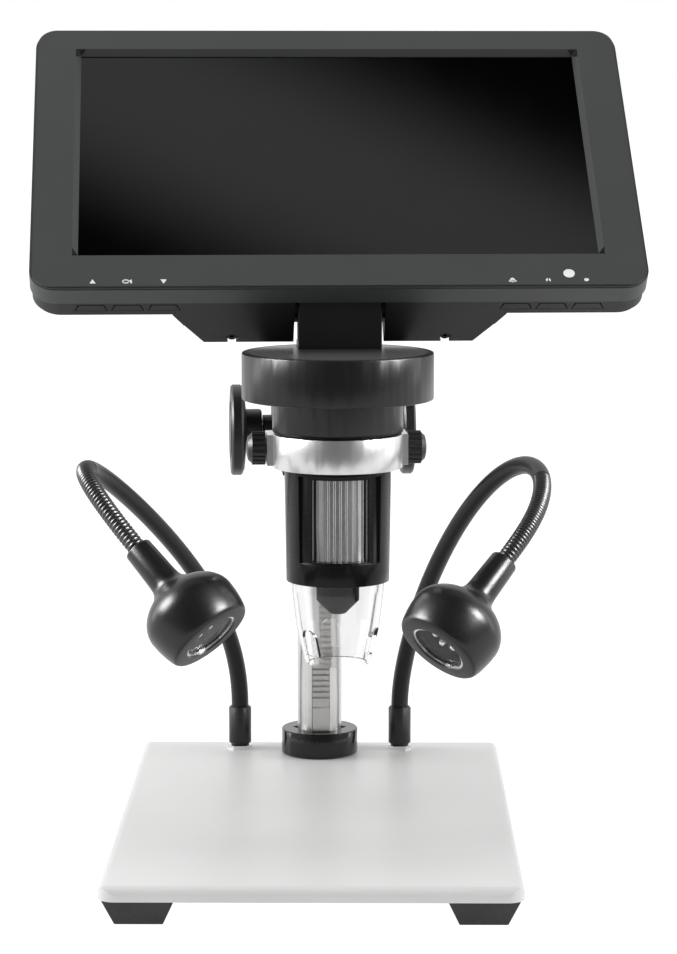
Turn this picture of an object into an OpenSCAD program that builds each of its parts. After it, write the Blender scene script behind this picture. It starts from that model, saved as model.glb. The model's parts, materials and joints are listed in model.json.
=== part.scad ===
// Digital microscope with a tilting screen, a rack-and-pinion stand and two gooseneck lamps.
// Millimetres, +Z up, the front (screen side) faces -Y. Z = 0 is the table under the feet.
// The stand is drawn at rest with its head swung a little about the column.

/* [Base] */
// Width of the base plate
base_w = 118.5; // [100:0.5:150]
// Depth of the base plate
base_d = 185; // [170:1:220]
// Thickness of the base plate
base_t = 4.2; // [4.2:0.1:8]
// Corner radius of the base plate in plan
base_corner = 5; // [4:0.5:12]
// Radius that rolls the top edges of the plate over
base_round = 2.6; // [1:0.1:3.5]
// Height of the rubber feet
foot_h = 7.5; // [5:0.1:14]
// Side of a foot where it meets the plate
foot_top = 20.2; // [16:0.1:24]
// Side of a foot on the table
foot_low = 13.6; // [9:0.1:15]
// Gap from the plate's edge to a foot
foot_inset = 1.2; // [0.5:0.1:5]

/* [Column] */
// Diameter of the column
col_d = 14.6; // [14:0.1:18]
// Distance from the column's axis to the back edge of the plate
col_back = 16.3; // [14:0.1:30]
// Length of the column above the plate
col_len = 154; // [140:1:160]
// Diameter of the collar at the column's foot
collar_d = 25; // [22:0.1:32]
// Height of the collar
collar_h = 8.3; // [6:0.1:14]
// Width of the rack let into the column
rack_w = 5.5; // [4:0.1:7]
// Angle by which the head is swung about the column
swing = 4.4; // [-4:0.1:8]
// Angle by which the microscope is turned in its ring
turn = -0.6; // [-4:0.1:4]

/* [Focus drive] */
// Gear module of the rack and the pinion
gear_m = 0.6; // [0.5:0.05:0.8]
// Teeth on the pinion
pinion_teeth = 14; // [12:1:18]
// Height of the focus shaft above the table
shaft_z = 120.5; // [111:0.1:131]
// Diameter of the focus shaft
shaft_d = 4; // [3:0.1:5]
// Diameter of the two focus knobs
knob_d = 29.2; // [24:0.1:36]
// Distance from the column's plane of symmetry to a knob's outer face
knob_out = 29.6; // [28:0.1:34]
// Thickness of a focus knob at its rim
knob_t = 4.6; // [3.5:0.1:6]
// Height of the carriage block
carriage_h = 30; // [24:1:36]
// Half width of the carriage block
carriage_hw = 16; // [13:0.1:17]

/* [Holder ring] */
// Distance from the column's axis to the microscope's axis
reach = 88; // [80:0.5:100]
// Underside of the holder ring above the table
ring_z = 118.2; // [113:0.1:125]
// Height of the holder ring
ring_h = 10; // [8:0.1:14]
// Outer diameter of the holder ring
ring_d = 38.4; // [36:0.1:44]
// Diameter of a ridged thumb screw
thumb_d = 10; // [7:0.1:12]
// Length of a thumb screw's head
thumb_len = 5.6; // [4:0.1:9]
// Distance of the thumb screws behind the microscope's axis
thumb_back = 6; // [2:0.5:8]

/* [Microscope] */
// Diameter of the lower body at its top
body_d = 31.8; // [30:0.1:34]
// Diameter of the lower body at its bottom
body_low_d = 30.7; // [29.6:0.1:32]
// Height of the body's bottom edge above the table
body_z = 84.2; // [79:0.1:91]
// Width of the window over the focus roller
window_w = 16.7; // [12:0.1:20]
// Bottom edge of that window above the table
window_z = 91.4; // [89:0.1:97]
// Diameter of the shoulder above the ring
shoulder_d = 38.9; // [36:0.1:44]
// Diameter of the head drum
drum_d = 57; // [50:0.5:64]
// Underside of the head drum above the table
drum_z = 138.5; // [135:0.1:141]
// Height of the head drum
drum_h = 14; // [12:0.5:14]
// Ridges around the focus roller
roller_ridges = 48; // [36:1:60]
// Bottom edge of the clear nose cap above the table
nose_z = 59.2; // [55:0.1:65]
// Diameter of the black lens barrel
barrel_d = 12.8; // [10:0.1:14]
// Tip of the lens barrel above the table
barrel_z = 74.2; // [71:0.1:77]

/* [Screen] */
// Width of the screen housing
screen_w = 184.6; // [176:0.2:196]
// Height of the screen housing along its face
screen_h = 113.7; // [108:0.1:124]
// Width of the bezel on each side of the display
bezel_side = 14.3; // [12:0.1:17]
// Height of the bezel above the display
bezel_top = 11.2; // [9:0.1:14]
// Height of the bezel under the display
chin = 15; // [12:0.1:20]
// Thickness of the front bezel
bezel_t = 6.7; // [5:0.1:8]
// Thickness of the back shell behind the bezel
shell_t = 6.8; // [5:0.1:8]
// Corner radius of the housing
screen_corner = 8; // [5:0.5:12]
// Angle of the display above level
tilt = 42.4; // [30:0.1:88]
// Depth of the hinge lobes behind the front face
lobe_depth = 24.6; // [20:0.1:24.8]
// Width of the neck
neck_w = 25.1; // [20:0.1:28]
// Distance of the neck and the screen to the right of the microscope's middle
neck_x = 1.3; // [0:0.1:2]
// Thickness of the neck
neck_t = 7; // [5:0.1:7.4]
// Height of the hinge pin above the drum
hinge_rise = 12.1; // [12:0.1:14]
// Distance of the hinge pin behind the microscope's axis
hinge_back = 13.7; // [8:0.1:16]
// Length of a push button
button_l = 9.3; // [6:0.1:10]

/* [Lamps] */
// Distance of each lamp socket from the column's plane of symmetry
socket_x = 26.5; // [24:0.5:44]
// Distance of the sockets in front of the column's axis (negative is behind)
socket_y = -5.5; // [-8:0.5:10]
// Diameter of the lamp sockets
socket_d = 7.4; // [6:0.1:9]
// Height of the lamp sockets
socket_h = 13; // [10:0.1:13]
// Diameter of the goosenecks
neck_d = 5.6; // [4:0.1:6]
// Largest diameter of a lamp head
lamp_d = 28.8; // [25:0.2:32]
// Length of a lamp head from sleeve to face
lamp_l = 35.5; // [34:0.5:44]
// Diameter of the lens in a lamp head
lens_d = 16; // [14:0.1:20]

/* [Display] */
// The piece to draw

/* [Hidden] */
$fn = 64;
eps = 0.01;
fit = 0.05;        // running clearance on a radius
gap = 0.3;         // gap between curved pieces of different bodies
col_x = -4.6;      // the column's axis in the frame, so that the box around the whole is centred
col_y = base_d / 2 - col_back;
plate_z = foot_h + base_t;
col_r = col_d / 2;
col_bore = 4;
rack_floor = 5.2;  // depth line of the rack's groove from the column's axis
tooth = 2 * gear_m;
rack_face = col_r + 0.7;
pinion_r = gear_m * pinion_teeth / 2;
pitch = PI * gear_m;
shaft_y = rack_face - gear_m + pinion_r + 0.12;
rack_z0 = plate_z + collar_h + 0.3;
col_top = plate_z + col_len;
carriage_z = shaft_z - carriage_h / 2;
pin_z = drum_z + drum_h + hinge_rise;
pin_depth = 13.5;  // hinge pin behind the screen's front face
pin_up = 4.5;      // hinge pin above the screen's lower side
pin_d = 3;
knuckle_r = 4;
body_bore = body_low_d / 2 - 1.6;
roller_z = 90.2;
roller_h = 27;
shell_z = pin_depth - bezel_t;
face_top = screen_h - pin_up;
view_w = screen_w - 2 * bezel_side;
view_h = screen_h - chin - bezel_top;
notch_w = neck_w + 2.1;
arm_screw_x = 10.3;   // arm screws to either side of the arm
button_pitch = button_l + 1.5;
button_end = screen_w / 2 - 18.2;    // middle of the outermost button
btn_x = [for (i = [0 : 5]) i < 3 ? -button_end + i * button_pitch : button_end - (5 - i) * button_pitch];
btn_low = -0.54 * shell_t;           // a button's two long edges, from the seam of the housing
btn_top = -0.22 * shell_t;
window_x = screen_w / 2 - 24.3;      // middle of the indicator window

// Frames ---------------------------------------------------------------------------------------
module at_column() translate([col_x, col_y, 0]) children();
module at_head() at_column() rotate([0, 0, swing]) children();
module at_ring() at_head() translate([0, -reach, 0]) children();
module at_scope() at_ring() rotate([0, 0, turn]) children();
module at_hinge(z) at_scope() translate([neck_x, hinge_back, z]) children();
// the screen's own frame: X right, Y up its face, Z out of its face, origin on the hinge pin
module at_screen() at_hinge(pin_z) rotate([tilt, 0, 0]) children();

// Helpers --------------------------------------------------------------------------------------
module round_rect(w, d, r) {
  square([w - 2 * r, d], center = true);
  square([w, d - 2 * r], center = true);
  for (x = [-1, 1], y = [-1, 1]) translate([x * (w / 2 - r), y * (d / 2 - r)]) circle(r);
}
// a slab's end profile whose two upper edges are rounded
module rolled(d, h, r) {
  translate([-d / 2, 0]) square([d, h - r]);
  translate([-d / 2 + r, 0]) square([d - 2 * r, h]);
  for (s = [-1, 1]) translate([s * (d / 2 - r), h - r]) circle(r);
}
module slab(w, d, h, rc, re) intersection() {
  linear_extrude(h) round_rect(w, d, rc);
  translate([-w / 2, 0, 0]) rotate([90, 0, 90]) linear_extrude(w) rolled(d, h, re);
  translate([0, d / 2, 0]) rotate([90, 0, 0]) linear_extrude(d) rolled(w, h, re);
}
module xcyl(r, x0, x1) translate([x0, 0, 0]) rotate([0, 90, 0]) cylinder(r = r, h = x1 - x0);
module screw(r, head_r, head_h, len) {          // head at z 0 upward, shank below
  difference() {
    cylinder(r = head_r, h = head_h);
    translate([0, 0, head_h - 0.8]) linear_extrude(1) for (a = [0, 90])
      rotate(a) square([head_r, 0.6], center = true);
  }
  translate([0, 0, -len]) cylinder(r = r, h = len + eps);
}

// Base -----------------------------------------------------------------------------------------
foot_cx = base_w / 2 - foot_inset - foot_top / 2;
foot_cy = base_d / 2 - foot_inset - foot_top / 2;
module at_feet() for (x = [-1, 1], y = [-1, 1]) translate([col_x + x * foot_cx, y * foot_cy, 0]) children();

module base_plate() color("silver") difference() {
  translate([col_x, 0, foot_h]) slab(base_w, base_d, base_t, base_corner, base_round);
  at_column() {
    translate([0, 0, foot_h - 1]) cylinder(r = 2.9 + 0.08, h = base_t + 2);
    translate([0, 0, foot_h - 1]) cylinder(r = 6, h = 3.6);
    for (x = [-1, 1]) translate([x * socket_x, -socket_y, foot_h - 1]) cylinder(r = 2, h = base_t + 2);
  }
  at_feet() translate([0, 0, foot_h - 1]) cylinder(r = 1.25, h = 3.6);
}
module feet() color("dimgray") at_feet() difference() {
  translate([-foot_top / 2, -foot_top / 2, 0]) cube([foot_top, foot_top, foot_h]);
  for (a = [0, 90, 180, 270]) rotate([0, 0, a]) translate([foot_low / 2, 0, 0])
    rotate([0, atan((foot_top - foot_low) / 2 / foot_h), 0]) translate([0, -20, -20]) cube([20, 40, 40]);
  translate([0, 0, 1.2]) cylinder(r = 1.3, h = foot_h);
  translate([0, 0, -1]) cylinder(r = 3, h = 3.6);
}
module foot_screws() color("gray") at_feet() translate([0, 0, 2.6]) rotate([180, 0, 0])
  screw(1.25, 2.6, 1.4, foot_h - 2.6 + 2.5);

module collar() color("black") at_column() translate([0, 0, plate_z]) difference() {
  union() {
    cylinder(r1 = collar_d / 2 - 0.5, r2 = collar_d / 2, h = 0.5 + eps);
    translate([0, 0, 0.5]) cylinder(r = collar_d / 2, h = collar_h - 0.8);
    translate([0, 0, collar_h - 0.3 - eps])
      cylinder(r1 = collar_d / 2, r2 = collar_d / 2 - 0.3, h = 0.3 + eps);
  }
  translate([0, 0, -1]) cylinder(r = col_r + fit, h = collar_h + 2);
  for (s = [-1, 1]) translate([s * (col_r + 0.2), 0, collar_h - 2.2]) rotate([0, 0, -30 * s])
    translate([-0.9, -1.3, 0]) cube([1.8, 2.6, 3]);
  rotate([0, 0, swing]) translate([-rack_w / 2, -col_r - 1.6, collar_h - 1.6]) cube([rack_w, 3, 3]);
}
module column() color("silver") at_head() difference() {
  translate([0, 0, plate_z]) cylinder(r = col_r, h = col_len);
  translate([0, 0, plate_z + 16]) cylinder(r = col_bore, h = col_len);
  translate([0, 0, plate_z - 1]) cylinder(r = 2.9, h = 14);
  translate([-rack_w / 2 - 0.15, -col_r - 1, rack_z0])
    cube([rack_w + 0.3, col_r + 1 - rack_floor, col_len]);
}
module column_bolt() color("gray") at_head() translate([0, 0, foot_h]) difference() {
  union() {
    cylinder(r = 2.9, h = base_t + 12);
    cylinder(r = 5.6, h = 2.3);
  }
  translate([0, 0, -1]) linear_extrude(2.2) circle(r = 2.3, $fn = 6);
}
// the teeth are narrower than half the pitch, which leaves the drive its play
module rack() color("gainsboro") at_head() {
  z1 = col_top - 4;
  half = pitch * 0.19;
  flank = gear_m * 0.32;
  root = rack_face - tooth - 0.25;
  z_t = shaft_z - pitch / 2;          // a tooth sits half a pitch under the shaft
  first = -floor((z_t - rack_z0 - 9) / pitch);
  last = floor((z1 - 1 - z_t) / pitch);
  translate([-rack_w / 2, 0, 0]) rotate([90, 0, 90]) linear_extrude(rack_w)
    polygon(concat([[-rack_floor, z1], [-rack_floor, rack_z0], [-rack_face, rack_z0],
        [-rack_face, rack_z0 + 7.6], [-root, rack_z0 + 7.6]],
      [for (i = [first : last], c = [[root, -half - flank], [rack_face, -half + flank],
        [rack_face, half - flank], [root, half + flank]]) [-c[0], z_t + i * pitch + c[1]]],
      [[-root, z1]]));
}
module column_cap() color("black") at_head() translate([0, 0, col_top]) {
  cylinder(r = col_r, h = 2.4);
  translate([0, 0, -3.5]) cylinder(r = col_bore - 0.1, h = 3.6);
}

// Carriage -------------------------------------------------------------------------------------
module carriage() color("black") at_head() difference() {
  union() {
    translate([0, 0, carriage_z]) cylinder(r = 12.5, h = carriage_h);
    translate([-12.5, -12, carriage_z]) cube([25, 12, carriage_h]);
    translate([-carriage_hw, -shaft_y - 9, carriage_z + 4]) cube([2 * carriage_hw, 16, carriage_h - 8]);
    translate([0, -shaft_y, shaft_z]) xcyl(4.8, -carriage_hw - 3, carriage_hw + 3);
  }
  translate([0, 0, carriage_z - 1]) cylinder(r = col_r + fit, h = carriage_h + 2);
  translate([-rack_w / 2 - 0.4, -rack_face - 0.35, carriage_z - 1]) cube([rack_w + 0.8, 8, carriage_h + 2]);
  translate([0, -shaft_y, shaft_z]) {
    xcyl(shaft_d / 2 + fit, -carriage_hw - 5, carriage_hw + 5);
    xcyl(pinion_r + gear_m + 0.4, -4.4, 4.4);
  }
  // threaded holes for the arm's screws, from the front
  for (x = [-1, 1]) translate([x * arm_screw_x, -shaft_y - 8.99, arm_z]) rotate([90, 0, 0])
    translate([0, 0, -7]) cylinder(r = 1.5, h = 7.1);
}
arm_y = -shaft_y - 9;    // front of the carriage block
arm_z = ring_z + ring_h / 2 - 1.5;
module holder_ring() color("silver") at_head() difference() {
  union() {
    translate([0, -reach, ring_z]) cylinder(r = ring_d / 2, h = ring_h);
    for (s = [-1, 1]) translate([s * 18.5 - 2.5, -reach + thumb_back - 6.5, ring_z + 0.4])
      cube([5, 13, ring_h - 0.8]);
    translate([-7, -reach + 15, ring_z + 0.6]) cube([14, reach - 15 + arm_y - 3 + 0.1, ring_h - 1.4]);
    translate([-arm_screw_x - 4, arm_y - 4, arm_z - 6]) cube([2 * arm_screw_x + 8, 4, 12]);
  }
  translate([0, -reach, ring_z - 1]) cylinder(r = body_d / 2 + fit, h = ring_h + 2);
  translate([0, -reach + thumb_back, ring_z + ring_h / 2]) xcyl(1.8, -30, 30);
  for (x = [-1, 1]) translate([x * arm_screw_x, arm_y + 1, arm_z]) rotate([90, 0, 0])
    cylinder(r = 1.6, h = 7);
}
module arm_screws() color("gray") at_head() for (x = [-1, 1])
  translate([x * arm_screw_x, arm_y - 4, arm_z]) rotate([90, 0, 0]) screw(1.5, 2.7, 1.7, 10);
module focus_shaft() color("gray") at_head() translate([0, -shaft_y, shaft_z])
  xcyl(shaft_d / 2, -knob_out + 2, knob_out - 2);
module pinion() color("goldenrod") at_head()
  translate([-3.8, -shaft_y, shaft_z]) rotate([90, 0, 90]) difference() {
  linear_extrude(7.6) {
    circle(pinion_r - gear_m - 0.1);
    for (i = [0 : pinion_teeth - 1]) rotate(i * 360 / pinion_teeth)
      polygon([[0, -pitch * 0.27], [pinion_r - gear_m, -pitch * 0.27], [pinion_r, -pitch * 0.19],
               [pinion_r + gear_m * 0.9, -pitch * 0.09], [pinion_r + gear_m * 0.9, pitch * 0.09],
               [pinion_r, pitch * 0.19], [pinion_r - gear_m, pitch * 0.27], [0, pitch * 0.27]]);
  }
  translate([0, 0, -1]) cylinder(r = shaft_d / 2, h = 10);
}
// knob drawn with its axis up: the outer face on top, the hub below
module knob_shape() {
  r = knob_d / 2;
  hub_in = carriage_hw + 3 + 0.4;
  difference() {
    rotate_extrude() polygon([[0, hub_in], [6.2, hub_in], [6.7, hub_in + 0.6],
      [6.7, knob_out - knob_t - 0.6], [r - 2, knob_out - knob_t],
      [r - 0.5, knob_out - knob_t + 0.6], [r, knob_out - knob_t + 1.2],
      [r, knob_out - 0.9], [r - 0.6, knob_out - 0.3], [10.5, knob_out - 0.3], [10.2, knob_out - 0.6],
      [9.6, knob_out - 0.6], [9.3, knob_out], [0, knob_out]]);
    translate([0, 0, hub_in - 1]) cylinder(r = shaft_d / 2, h = knob_out - 2 - hub_in + 1);
  }
}
module knob_right() color("black") at_head() translate([0, -shaft_y, shaft_z])
  rotate([0, 90, 0]) knob_shape();
module knob_left() color("black") at_head() translate([0, -shaft_y, shaft_z])
  rotate([0, -90, 0]) knob_shape();
// ridged screw, axis up, its stem reaching down to the body
module thumb_shape(inner) {
  r = thumb_d / 2;
  difference() {
    union() {
      linear_extrude(thumb_len - 1.6) {
        circle(r - 0.45);
        for (a = [0 : 20 : 340]) rotate(a) translate([r - 0.5, 0]) circle(0.5, $fn = 16);
      }
      translate([0, 0, thumb_len - 1.6]) cylinder(r1 = r - 0.4, r2 = r - 1.5, h = 1.2);
      translate([0, 0, thumb_len - 0.4]) cylinder(r1 = r - 1.5, r2 = r - 3, h = 0.4);
    }
  }
  translate([0, 0, -inner]) cylinder(r = 1.75, h = inner + 0.1);
}
// where a stem's tip clears the body
stem_to = sqrt(pow(body_d / 2, 2) - pow(thumb_back - 1.75, 2)) + gap;
module at_thumb(s) at_ring() translate([0, thumb_back, ring_z + ring_h / 2])
  rotate([0, s * 90, 0]) children();
module thumb_left() color("black") at_thumb(-1) translate([0, 0, 21.3]) thumb_shape(21.3 - stem_to);
module thumb_right() color("black") at_thumb(1) translate([0, 0, 21.3]) thumb_shape(21.3 - stem_to);

// Microscope -----------------------------------------------------------------------------------
body_h = ring_z + ring_h + 0.3 - body_z;
module scope_body() color("black") at_scope() difference() {
  union() {
    translate([0, 0, body_z]) cylinder(r1 = body_low_d / 2, r2 = body_d / 2, h = ring_z - 1 - body_z);
    translate([0, 0, ring_z - 1]) cylinder(r = body_d / 2, h = ring_h + 1.3);
  }
  translate([0, 0, body_z - 1]) cylinder(r = body_bore, h = body_h + 2);
  // shallow recess for the thumb around the window, then the window itself
  difference() {
    translate([0, 0, window_z - 0.5]) cylinder(r = 20, h = ring_z - 1 - window_z);
    translate([0, 0, window_z - 1]) cylinder(r = body_low_d / 2 - 0.55, h = 40);
    for (s = [-1, 1]) rotate([0, 0, s * 50]) translate([s > 0 ? 0 : -40, -30, window_z - 1])
      cube([40, 60, 40]);
    translate([-30, 0, window_z - 1]) cube([60, 30, 40]);
  }
  translate([-window_w / 2, -body_d, window_z]) cube([window_w, body_d, ring_z - 2.4 - window_z]);
}
module head_drum() color("black") at_scope() difference() {
  union() {
    translate([0, 0, ring_z + ring_h + 0.3]) cylinder(r = shoulder_d / 2 - 0.5, h = 0.6);
    translate([0, 0, ring_z + ring_h + 0.8])
      cylinder(r = shoulder_d / 2, h = drum_z - ring_z - ring_h - 0.7);
    translate([0, 0, drum_z]) cylinder(r = drum_d / 2, h = drum_h);
  }
  translate([0, 0, ring_z + ring_h - 1]) cylinder(r = body_bore, h = drum_z - ring_z);
  translate([0, 0, drum_z + 1.6]) cylinder(r = drum_d / 2 - 1.8, h = drum_h);
}
module drum_cap() color("black") at_scope() difference() {
  union() {
    translate([0, 0, drum_z + drum_h - 2]) cylinder(r = drum_d / 2 - 1.8, h = 2);
    for (x = [-1, 1]) translate([neck_x + x * 8, hinge_back + 6.5, drum_z + drum_h - 5])
      cylinder(r = 3, h = 4);
  }
  for (x = [-1, 1]) translate([neck_x + x * 8, hinge_back + 6.5, drum_z + drum_h - 4.5])
    cylinder(r = 1.2, h = 6);
}
module focus_roller() color("silver") at_scope() translate([0, 0, roller_z]) difference() {
  linear_extrude(roller_h) {
    circle(body_bore - 0.5);
    for (i = [0 : roller_ridges - 1]) rotate(i * 360 / roller_ridges) translate([body_bore - 0.5, 0])
      circle(0.5 - fit, $fn = 16);
  }
  translate([0, 0, -1]) cylinder(r = 11.5, h = roller_h + 2);
}
module lens_barrel() color("black") at_scope() difference() {
  union() {
    translate([0, 0, barrel_z + 4]) cylinder(r = barrel_d / 2, h = 24);
    translate([0, 0, barrel_z]) cylinder(r1 = 2.4, r2 = barrel_d / 2, h = 4 + eps);
    translate([0, 0, roller_z + 8]) cylinder(r = 11.5 - fit, h = 4);
  }
  translate([0, 0, barrel_z - 1]) cylinder(r = 1.7, h = 30);
  translate([0, 0, barrel_z + 3]) cylinder(r = 4.6, h = 30);
}
module lens_glass() color("lightblue") at_scope() translate([0, 0, barrel_z + 3]) cylinder(r = 4.6, h = 3);
module led_board() color("white") at_scope() {
  difference() {
    translate([0, 0, body_z + 2.6]) cylinder(r = body_bore, h = 1.2);
    translate([0, 0, body_z]) cylinder(r = barrel_d / 2 + gap, h = 6);
  }
  for (a = [0 : 45 : 315]) rotate([0, 0, a + 22.5]) translate([barrel_d / 2 + 3.5, 0, body_z + 1.4])
    cylinder(r = 1.5, h = 1.3);
}
module sensor_board() color("darkgreen") at_scope() {
  translate([0, 0, ring_z + 1]) cylinder(r = body_bore, h = 1.6);
  translate([-4, -4, ring_z - 0.4]) cube([8, 8, 1.5]);
}
module nose_cap() color("lightcyan", 0.4) at_scope() difference() {
  r0 = body_bore;
  h = body_z - nose_z;
  translate([0, 0, nose_z]) rotate_extrude() polygon([[8.7, 0], [9.6, 0], [10, 0.8], [r0 - 1.3, 11],
    [r0, h - 3], [r0 + 0.2, h], [r0, h], [r0, h + 2.6], [r0 - 1, h + 2.6], [r0 - 1.1, h - 3],
    [r0 - 2.4, 11], [9, 0.9]]);
  // three arched openings let the specimen be reached under the cap
  for (a = [99, 219, 339]) rotate([0, 0, a])
    translate([0, 0, nose_z + 3]) rotate([90, 0, 90]) linear_extrude(30) {
    translate([-2.9, 0]) square([5.8, 5.2]);
    translate([0, 5.2]) circle(2.9);
  }
}

// Neck and hinge -------------------------------------------------------------------------------
module neck() color("black") at_hinge(0) difference() {
  z0 = drum_z + drum_h;
  union() {
    translate([-neck_w / 2, -knuckle_r, z0]) cube([neck_w, neck_t, pin_z - z0]);
    translate([0, 0, pin_z]) xcyl(knuckle_r, -neck_w / 2, neck_w / 2);
    // the front runs up flat over the knuckle
    translate([-neck_w / 2, -knuckle_r, pin_z - 1]) cube([neck_w, knuckle_r, knuckle_r + 1]);
    translate([-neck_w / 2, -knuckle_r, z0]) cube([neck_w, knuckle_r + 10, 1.8]);
  }
  translate([0, 0, pin_z]) xcyl(pin_d / 2 + fit, -20, 20);
  for (x = [-1, 1]) translate([x * 8, 6.5, z0 - 1]) cylinder(r = 1.3, h = 5);
}
module neck_screws() color("gray") at_hinge(drum_z + drum_h + 1.8) for (x = [-1, 1])
  translate([x * 8, 6.5, 0]) screw(1.2, 2.3, 1.3, 5.2);
module hinge_pin() color("silver") at_screen() xcyl(pin_d / 2, -notch_w / 2 - 6, notch_w / 2 + 6);
module hinge_washers() color("silver") at_screen() for (s = [-1, 1]) difference() {
  xcyl(3.4, min(s * (neck_w / 2 + 0.1), s * notch_w / 2), max(s * (neck_w / 2 + 0.1), s * notch_w / 2));
  xcyl(pin_d / 2, -20, 20);
}

// Screen housing, drawn in the screen's own frame -------------------------------------------------
module face_rect(inset, r) translate([0, face_top / 2 - pin_up / 2, 0])
  round_rect(screen_w - 2 * inset, screen_h - 2 * inset, r);
view_y = chin - pin_up;
module front_bezel() color("dimgray") at_screen() difference() {
  union() {
    translate([0, 0, shell_z]) linear_extrude(bezel_t - 1) face_rect(0, screen_corner);
    translate([0, 0, shell_z]) linear_extrude(bezel_t - 0.5) face_rect(0.3, screen_corner - 0.6);
    translate([0, 0, shell_z]) linear_extrude(bezel_t) face_rect(0.8, screen_corner - 2);
  }
  translate([-view_w / 2, view_y, shell_z]) cube([view_w, view_h, 20]);
  // sloped rim around the display
  for (s = [-1, 1]) {
    translate([s * view_w / 2, view_y + view_h / 2, pin_depth]) rotate([0, 45, 0])
      cube([2.4, view_h + 3.4, 2.4], center = true);
    translate([0, view_y + (s + 1) * view_h / 2, pin_depth]) rotate([45, 0, 0])
      cube([view_w + 3.4, 2.4, 2.4], center = true);
  }
  // pocket for the display panel and the boards
  translate([-screen_w / 2 + 2, 2.4, shell_z - 1]) cube([screen_w - 4, screen_h - 9, bezel_t - 1.9 + 1]);
  translate([window_x, -pin_up + 5.2, pin_depth - 2]) cylinder(r = 1.7, h = 4);
}
panel_back = pin_depth - 5.2;
panel_lap = 4.5;     // how far the display panel reaches behind the bezel
module screen_panel() color("black") at_screen()
  translate([-view_w / 2 - panel_lap, view_y - panel_lap, panel_back])
  cube([view_w + 2 * panel_lap, view_h + 2 * panel_lap, 3.3]);
module main_board() color("darkgreen") at_screen() {
  translate([-view_w / 2 + 8, 22, panel_back - 1.6]) cube([view_w - 16, view_h - 27.5, 1.6]);
  translate([-30, 40, panel_back - 3.1]) cube([22, 22, 1.6]);
  translate([12, 45, panel_back - 2.7]) cube([14, 10, 1.2]);
}
module battery() color("slategray") at_screen() translate([-34, 10, pin_depth - lobe_depth + 2.2])
  cube([68, 27, 8.6]);

side = -pin_up;                       // Y of the lower side in the screen's frame
module hump(inset) {                  // the bulge behind the shell, inset for the hollow inside
  z0 = shell_z - shell_t + (inset > 0 ? 2.2 : 1);
  z1 = pin_depth - 17;
  z2 = pin_depth - lobe_depth + inset;
  front = inset > 0 ? z0 : shell_z - 1;
  translate([0, side + 0.6 + inset, 0]) rotate([-90, 0, 0]) linear_extrude(46 - 2 * inset)
    polygon([[-50 + inset, -front], [-50 + inset, -z0], [-46.7 + inset, -z1], [-40.6 + inset, -z2],
      [40.6 - inset, -z2], [46.7 - inset, -z1], [50 - inset, -z0], [50 - inset, -front]]);
}
module back_shell() color("black") at_screen() difference() {
  union() {
    translate([0, 0, shell_z - shell_t + 2]) linear_extrude(shell_t - 2) face_rect(0.6, screen_corner);
    translate([0, 0, shell_z - shell_t + 0.7]) linear_extrude(2) face_rect(1.2, screen_corner);
    translate([0, 0, shell_z - shell_t]) linear_extrude(2) face_rect(2.2, screen_corner);
    hump(0);
  }
  // a low step where the lobes' lower face begins
  translate([-60, side - 1, pin_depth - lobe_depth - 1]) cube([120, 1.8, lobe_depth - 16]);
  // the hollow
  translate([-screen_w / 2 + 3, side + 3, shell_z - shell_t + 2])
    cube([screen_w - 6, screen_h - 6, shell_t]);
  difference() {
    hump(2.2);
    translate([-notch_w / 2 - 8, side - 1, -30]) cube([notch_w + 16, 13, 40]);
    for (s = [-1, 1]) translate([s * 32.2, side + 4, -30]) translate([-4, -5, 0]) cube([8, 9, 40]);
  }
  // the notch for the neck
  translate([-notch_w / 2, side - 1, -30]) cube([notch_w, 1 + pin_up + 4.35, 30 + shell_z - 0.2]);
  xcyl(pin_d / 2, -notch_w / 2 - 6, notch_w / 2 + 6);
  // seats of the two lower screws
  for (s = [-1, 1]) translate([s * 32.2, side, pin_depth - lobe_depth + 1.5]) rotate([90, 0, 0]) {
    translate([0, 0, -3]) cylinder(r = 1.95, h = 8);
    translate([0, 0, -6]) cylinder(r = 1, h = 5);
  }
  // slots for the buttons
  for (x = btn_x) translate([x, side - 1, shell_z]) button_bar(5, 0.3, 0.12);
  // sockets on the right side: card slot and charging port
  translate([screen_w / 2 - 5, 30, shell_z - 3.3]) cube([10, 12.4, 1.6]);
  translate([screen_w / 2 - 5, 50, shell_z - 3.9]) cube([10, 8.4, 2.8]);
}
module shell_screws() color("gray") at_screen() for (s = [-1, 1])
  translate([s * 32.2, side + 3, pin_depth - lobe_depth + 1.5]) rotate([90, 0, 0]) screw(1, 1.45, 1.3, 2.8);
// a button's bar between btn_low and btn_top, grown by g at the ends and the top, by low at the bottom
module button_bar(len, g, low) translate([0, len, 0]) rotate([90, 0, 0]) linear_extrude(len)
  polygon([[-button_l / 2 - g, btn_low - low], [button_l / 2 + g, btn_low - low],
    [button_l / 2 - 1.1 + g, btn_top + g], [-button_l / 2 + 1.1 - g, btn_top + g]]);
module button(i) color("black") at_screen() translate([btn_x[i], side + 0.6, shell_z]) {
  button_bar(2.6, 0, 0);
  translate([-button_l / 2 - 0.6, 2.55, btn_low + 0.05]) cube([button_l + 1.2, 0.7, -btn_low - 0.6]);
}
module button_up() button(0);
module button_back() button(1);
module button_down() button(2);
module button_photo() button(3);
module button_mode() button(4);
module button_power() button(5);
module ir_window() color("white") at_screen() translate([window_x, -pin_up + 5.2, pin_depth - 2])
  cylinder(r = 1.7, h = 2.1);

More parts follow.
